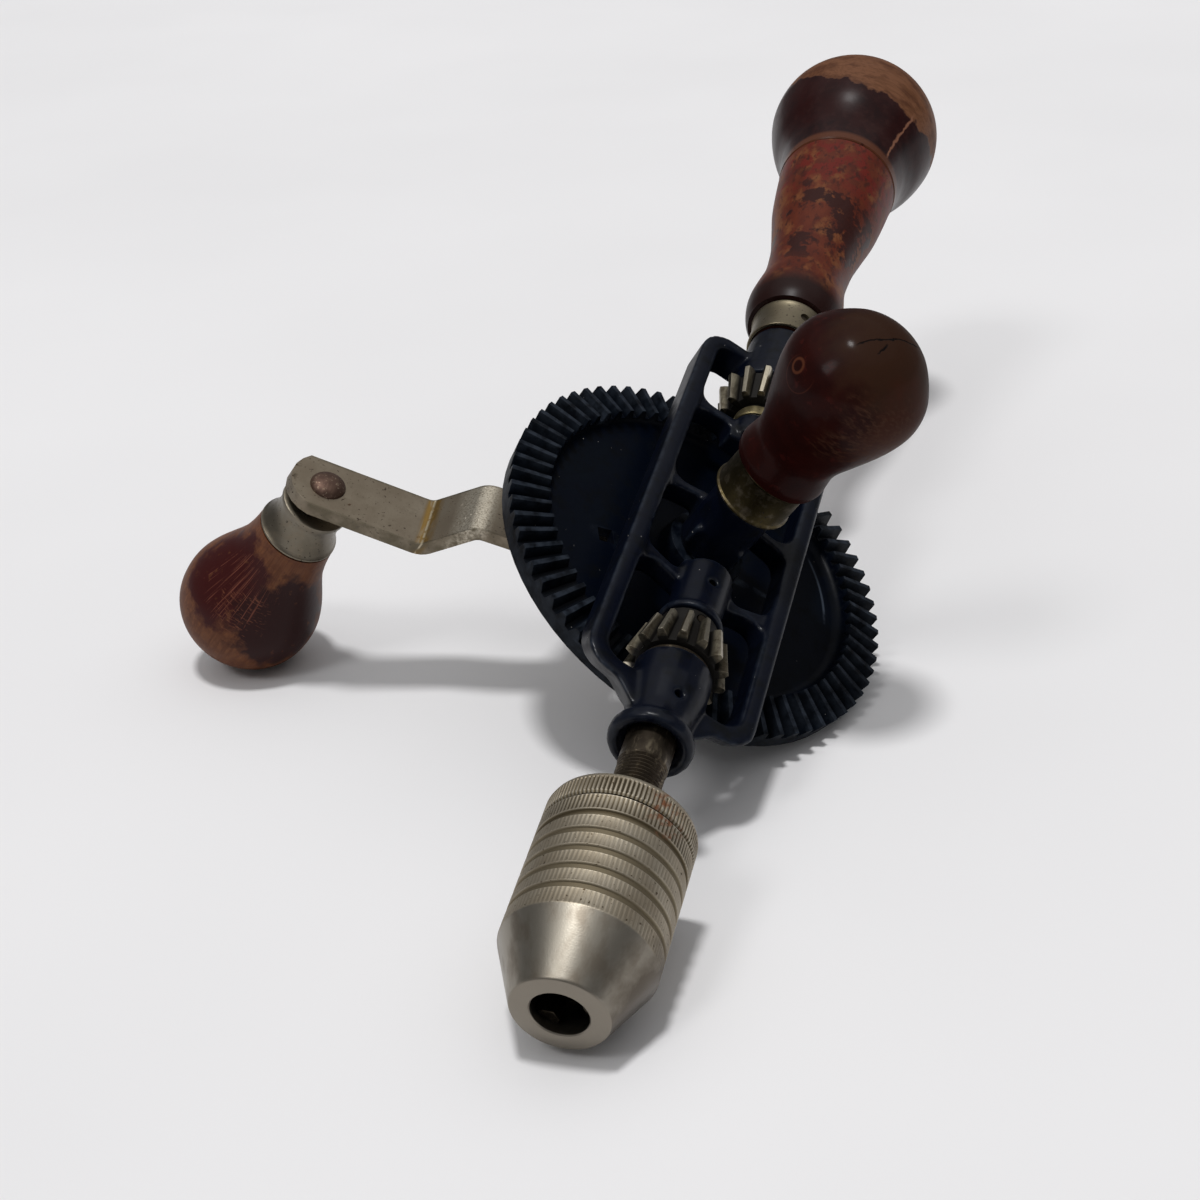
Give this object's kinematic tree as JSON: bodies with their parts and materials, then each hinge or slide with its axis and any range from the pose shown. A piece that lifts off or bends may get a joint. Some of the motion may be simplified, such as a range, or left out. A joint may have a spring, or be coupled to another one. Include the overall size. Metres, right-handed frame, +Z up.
{
  "type": "hand drill",
  "caption": "Crank-driven hand drill with an open bevel gear frame, keyless bit chuck, turned wooden crank knob, side handle and long mushroom-topped handle.",
  "frame": {"origin": "centre of the underside of the bounding box, on the bench that the drill lies on", "axes": "+Z up from the bench, +Y along the spindle's shadow on the bench, from the chuck towards the main handle, +X towards the side handle's side; the drill rests on the chuck's edge, the wheel's rim and the crank knob"},
  "size_m": [0.2036, 0.3912, 0.1199],
  "materials": {
    "navy_enamel": "semi-gloss navy enamel on cast iron",
    "wheel_enamel": "semi-gloss dark navy enamel, oily on the teeth",
    "dark_steel": "dark oily steel",
    "arm_nickel": "satin nickel plate with rust specks",
    "rivet_steel": "browned steel",
    "knob_lacquer": "worn mahogany-red lacquer",
    "tooth_steel": "tarnished cut steel",
    "collar_brass": "pale dull brass",
    "satin_nickel": "satin nickel plate",
    "jaw_steel": "dark hardened steel",
    "side_lacquer": "glossy dark maroon lacquer",
    "ferrule_brass": "nickel plate worn to a brassy olive",
    "handle_lacquer": "mottled orange-red and dark lacquer",
    "cap_lacquer": "dark purple-brown lacquer, worn to tan on top"
  },
  "bodies": {
    "frame": {"frame_casting": "navy_enamel", "wheel_stud": "dark_steel", "idler_axle": "dark_steel", "idler_collar": "collar_brass", "idler_thrust_washer": "dark_steel", "side_handle": "side_lacquer", "side_handle_ferrule": "ferrule_brass", "side_handle_stud": "dark_steel", "main_handle": "handle_lacquer", "main_handle_ferrule": "satin_nickel", "main_handle_stud": "dark_steel", "ferrule_pin": "dark_steel"},
    "crank": {"gear_wheel": "wheel_enamel", "crank_arm": "arm_nickel", "knob_pin": "rivet_steel"},
    "knob": {"crank_knob": "knob_lacquer", "knob_ferrule": "arm_nickel"},
    "spindle_set": {"spindle": "dark_steel", "drive_pinion": "tooth_steel", "pinion_pin": "dark_steel", "drive_thrust_washer": "dark_steel", "chuck_body": "satin_nickel"},
    "idler": {"idler_pinion": "tooth_steel"},
    "shell": {"chuck_shell": "satin_nickel"},
    "jaw_1": {"chuck_jaw_1": "jaw_steel"},
    "jaw_2": {"chuck_jaw_2": "jaw_steel"},
    "jaw_3": {"chuck_jaw_3": "jaw_steel"},
    "cap": {"handle_cap": "cap_lacquer"}
  },
  "joints": [
    {"name": "crank_turn", "type": "hinge", "parent": "frame", "child": "crank", "pos_m": [0.04954, -0.03857, 0.04737], "axis": [0.6084, -0.1693, 0.7754], "continuous": true},
    {"name": "spindle_spin", "type": "hinge", "parent": "frame", "child": "spindle_set", "pos_m": [0.04954, -0.03857, 0.04737], "axis": [0, 0.977, 0.2134], "continuous": true},
    {"name": "idler_spin", "type": "hinge", "parent": "frame", "child": "idler", "pos_m": [0.04954, -0.03857, 0.04737], "axis": [0, 0.977, 0.2134], "continuous": true},
    {"name": "knob_spin", "type": "hinge", "parent": "crank", "child": "knob", "pos_m": [-0.02059, -0.05957, 0.09781], "axis": [0.6084, -0.1693, 0.7754], "continuous": true},
    {"name": "shell_turn", "type": "hinge", "parent": "spindle_set", "child": "shell", "pos_m": [0.04954, -0.03857, 0.04737], "axis": [0, 0.977, 0.2134], "range_deg": [-300, 880]},
    {"name": "jaw_slide_1", "type": "slide", "parent": "spindle_set", "child": "jaw_1", "axis": [0.2526, -0.9591, 0.1279], "range_m": [-0.00274, 0.00805]},
    {"name": "jaw_slide_2", "type": "slide", "parent": "spindle_set", "child": "jaw_2", "axis": [-0.4118, -0.9003, -0.1413], "range_m": [-0.00274, 0.00805]},
    {"name": "jaw_slide_3", "type": "slide", "parent": "spindle_set", "child": "jaw_3", "axis": [0.1591, -0.8069, -0.5689], "range_m": [-0.00274, 0.00805]},
    {"name": "cap_slide", "type": "slide", "parent": "frame", "child": "cap", "axis": [0, 0.977, 0.2134], "range_m": [0, 0.012]}
  ],
  "couplings": [
    {"joint": "spindle_spin", "follows": "crank_turn", "ratio": -4.8571},
    {"joint": "idler_spin", "follows": "crank_turn", "ratio": 4.8571},
    {"joint": "jaw_slide_1", "follows": "shell_turn", "m_per_rad": 0.000524},
    {"joint": "jaw_slide_2", "follows": "shell_turn", "m_per_rad": 0.000524},
    {"joint": "jaw_slide_3", "follows": "shell_turn", "m_per_rad": 0.000524}
  ]
}
